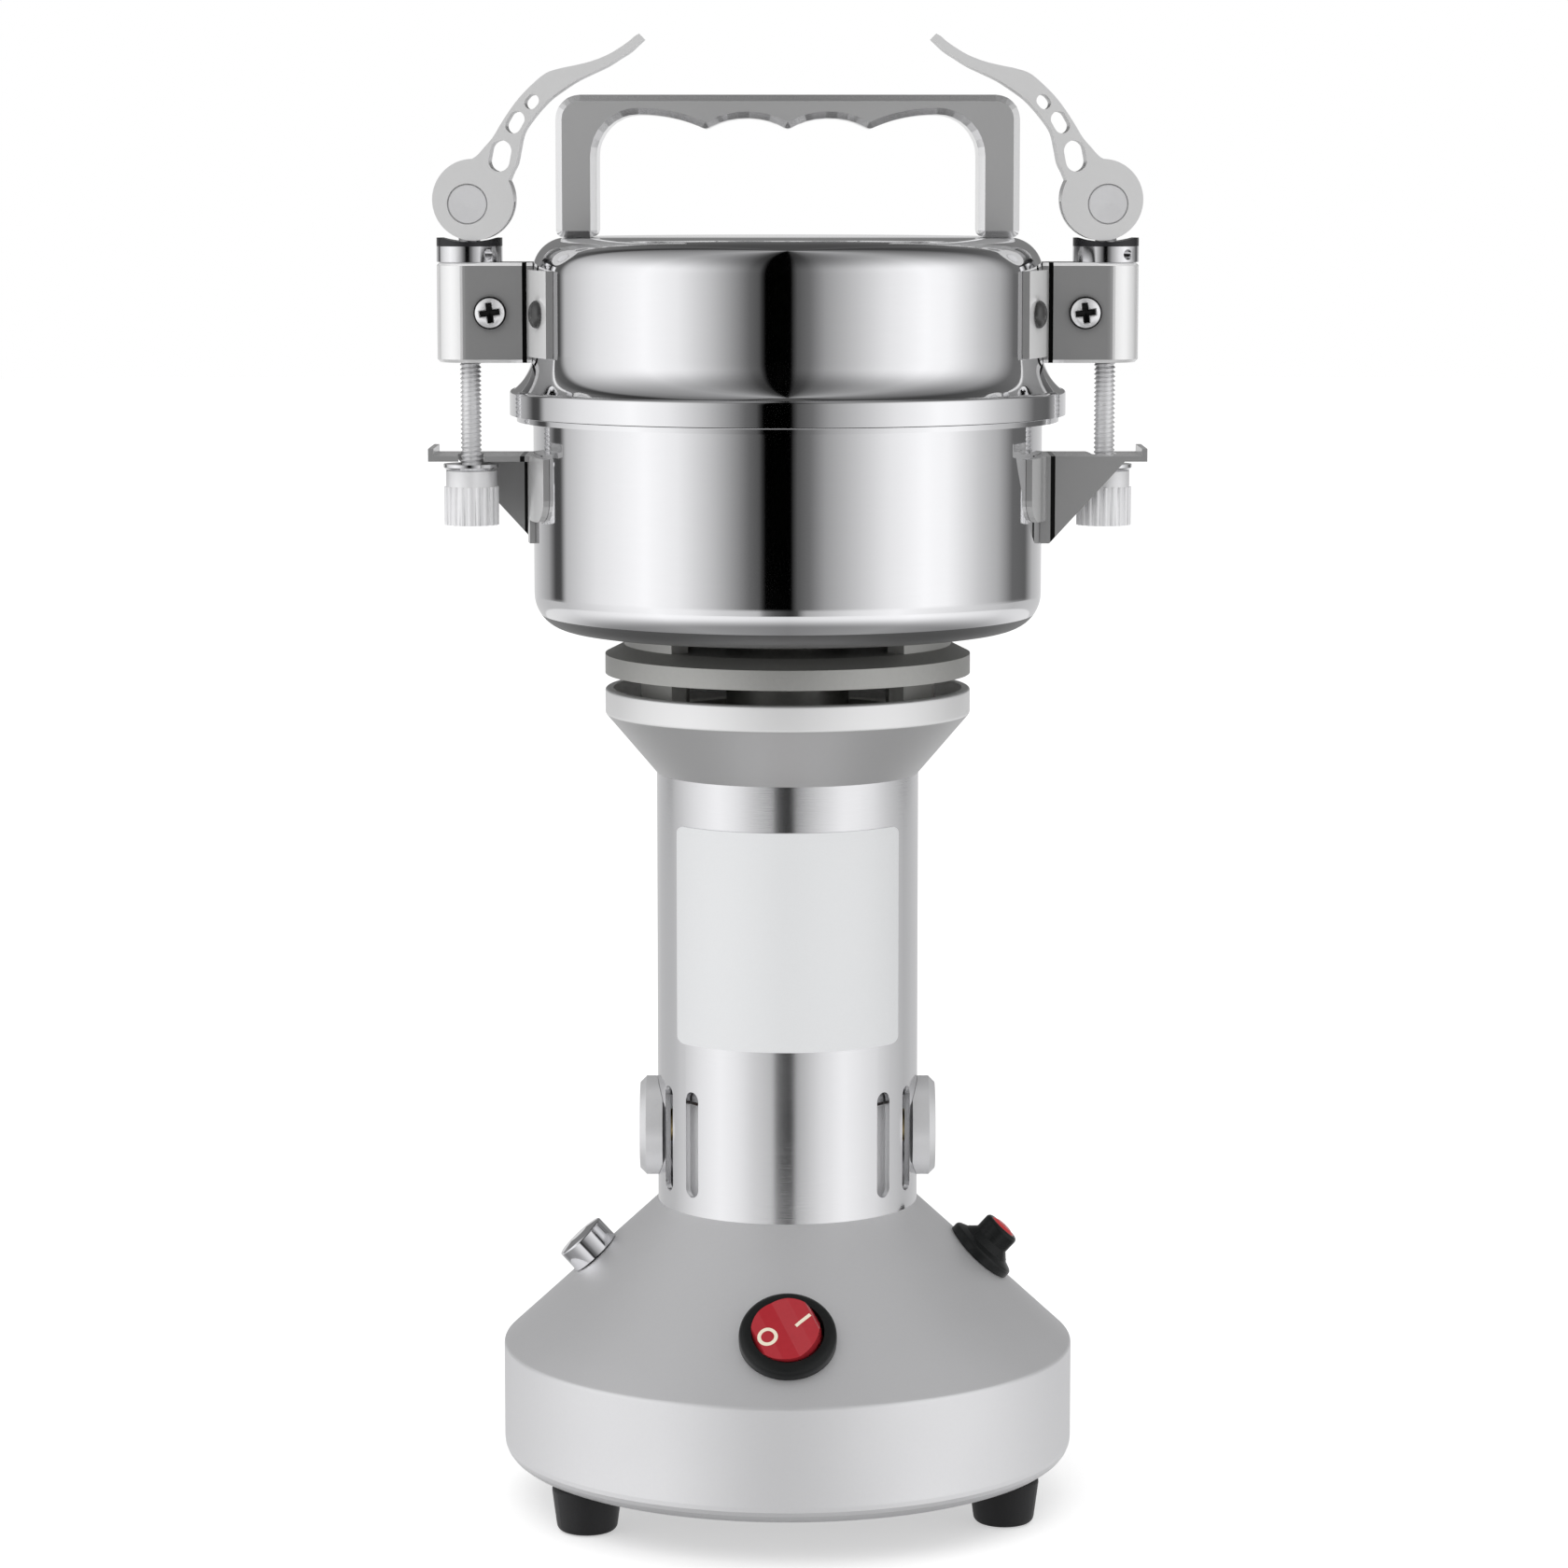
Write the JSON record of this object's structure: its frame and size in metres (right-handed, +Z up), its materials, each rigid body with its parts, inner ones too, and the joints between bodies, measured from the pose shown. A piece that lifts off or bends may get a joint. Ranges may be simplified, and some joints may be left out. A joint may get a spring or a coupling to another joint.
{
  "type": "electric coffee grinder",
  "caption": "Upright electric grinder: cone base with rocker switch, motor barrel, blade bowl and a cam-lever clamped lid with a finger-grip handle.",
  "frame": {"origin": "on the ground at the middle of the base", "axes": "+Z up the motor shaft, -Y to the front where the switch is, +X to the right"},
  "size_m": [0.1564, 0.127, 0.325],
  "materials": {
    "base_steel": "satin",
    "barrel_steel": "brushed",
    "collar_steel": "satin",
    "label_aluminium": "matt, bare",
    "polished_steel": "mirror polished",
    "bracket_steel": "sheet, satin",
    "cast_aluminium": "as cast",
    "handle_aluminium": "matt with polished edges",
    "lever_aluminium": "satin",
    "screw_steel": "zinc plated",
    "bolt_steel": "turned",
    "blade_steel": "ground",
    "chrome_plate": "bright plated",
    "black_rubber": "moulded",
    "seal_silicone": "moulded silicone",
    "black_plastic": "moulded",
    "red_plastic": "translucent red",
    "fuse_glass": "clear tube with metal ends",
    "brush_brass": "drawn tube",
    "copper_wire": "enamelled copper",
    "core_steel": "laminated",
    "carbon": "pressed carbon"
  },
  "bodies": {
    "base": {"base_shell": "base_steel", "bottom_plate": "base_steel", "rubber_feet": "black_rubber", "foot_screws": "screw_steel", "switch_housing": "black_plastic", "overload_breaker": "black_plastic", "reset_nut": "black_plastic", "fuse_holder": "black_plastic", "fuse": "fuse_glass", "cord_bush": "black_rubber", "barrel": "barrel_steel", "label_plate": "label_aluminium", "brush_bosses": "black_plastic", "brush_caps": "black_plastic", "brush_tubes": "brush_brass", "carbon_brushes": "carbon", "brush_springs": "bolt_steel", "stator_core": "core_steel", "field_windings": "copper_wire", "bearing_bracket": "cast_aluminium", "bearings": "bolt_steel", "collar": "collar_steel", "bowl_carrier": "cast_aluminium", "carrier_screws": "screw_steel", "bowl": "polished_steel", "shaft_seal": "black_rubber", "hook_bracket_left": "bracket_steel", "hook_bracket_right": "bracket_steel"},
    "rotor": {"shaft": "bolt_steel", "armature": "copper_wire", "commutator": "copper_wire", "cooling_fan": "black_plastic", "blade_spacer": "bolt_steel", "lower_blade": "blade_steel", "upper_blade": "blade_steel", "blade_nut": "blade_steel"},
    "lid": {"lid_shell": "polished_steel", "lid_gasket": "seal_silicone", "handle": "handle_aluminium", "handle_screws": "screw_steel", "latch_strap_left": "bracket_steel", "latch_strap_right": "bracket_steel", "latch_guides": "black_plastic", "latch_screws": "screw_steel", "latch_collars": "chrome_plate", "cam_washers": "black_plastic"},
    "switch_rocker": {"rocker": "red_plastic"},
    "reset": {"reset_button": "red_plastic"},
    "fuse_door": {"fuse_cap": "chrome_plate"},
    "clamp_left": {"clamp_bolt_left": "bolt_steel", "pivot_pin_left": "screw_steel"},
    "lever_left": {"cam_lever_left": "lever_aluminium"},
    "washer_left": {"nut_washer_left": "chrome_plate"},
    "nut_left": {"thumb_nut_left": "chrome_plate"},
    "clamp_right": {"clamp_bolt_right": "bolt_steel", "pivot_pin_right": "screw_steel"},
    "lever_right": {"cam_lever_right": "lever_aluminium"},
    "washer_right": {"nut_washer_right": "chrome_plate"},
    "nut_right": {"thumb_nut_right": "chrome_plate"}
  },
  "joints": [
    {"name": "rotor_spin", "type": "hinge", "parent": "base", "child": "rotor", "pos_m": [0, 0, 0.12], "axis": [0, 0, 1], "continuous": true},
    {"name": "lid_twist", "type": "hinge", "parent": "base", "child": "lid", "pos_m": [0, 0, 0.243], "axis": [0, 0, 1], "range_deg": [0, 150]},
    {"name": "switch_rock", "type": "hinge", "parent": "base", "child": "switch_rocker", "pos_m": [0, -0.051, 0.04838], "axis": [-0.4067, 0.6707, 0.6203], "range_deg": [0, 18]},
    {"name": "reset_trip", "type": "slide", "parent": "base", "child": "reset", "axis": [0.679, 0, 0.7342], "range_m": [0, 0.003]},
    {"name": "fuse_cap_turn", "type": "hinge", "parent": "base", "child": "fuse_door", "pos_m": [-0.04291, 0, 0.05504], "axis": [-0.679, 0, 0.7342], "range_deg": [0, 90]},
    {"name": "clamp_lift_left", "type": "slide", "parent": "lid", "child": "clamp_left", "axis": [0, 0, 1], "range_m": [0, 0.0007]},
    {"name": "lever_throw_left", "type": "hinge", "parent": "clamp_left", "child": "lever_left", "pos_m": [-0.0694, 0, 0.2885], "axis": [0, -1, 0], "range_deg": [0, 135]},
    {"name": "washer_run_left", "type": "slide", "parent": "clamp_left", "child": "washer_left", "axis": [0, 0, -1], "range_m": [0, 0.00241]},
    {"name": "nut_turn_left", "type": "hinge", "parent": "washer_left", "child": "nut_left", "pos_m": [-0.0694, 0, 0.225], "axis": [0, 0, -1], "range_deg": [0, 1080]},
    {"name": "clamp_lift_right", "type": "slide", "parent": "lid", "child": "clamp_right", "axis": [0, 0, 1], "range_m": [0, 0.0007]},
    {"name": "lever_throw_right", "type": "hinge", "parent": "clamp_right", "child": "lever_right", "pos_m": [0.0694, 0, 0.2885], "axis": [0, 1, 0], "range_deg": [0, 135]},
    {"name": "washer_run_right", "type": "slide", "parent": "clamp_right", "child": "washer_right", "axis": [0, 0, -1], "range_m": [0, 0.00241]},
    {"name": "nut_turn_right", "type": "hinge", "parent": "washer_right", "child": "nut_right", "pos_m": [0.0694, 0, 0.225], "axis": [0, 0, -1], "range_deg": [0, 1080]}
  ],
  "couplings": [
    {"joint": "clamp_lift_left", "follows": "lever_throw_left", "m_per_rad": 0.0002968},
    {"joint": "washer_run_left", "follows": "nut_turn_left", "m_per_rad": 0.00012732},
    {"joint": "clamp_lift_right", "follows": "lever_throw_right", "m_per_rad": 0.0002968},
    {"joint": "washer_run_right", "follows": "nut_turn_right", "m_per_rad": 0.00012732}
  ]
}
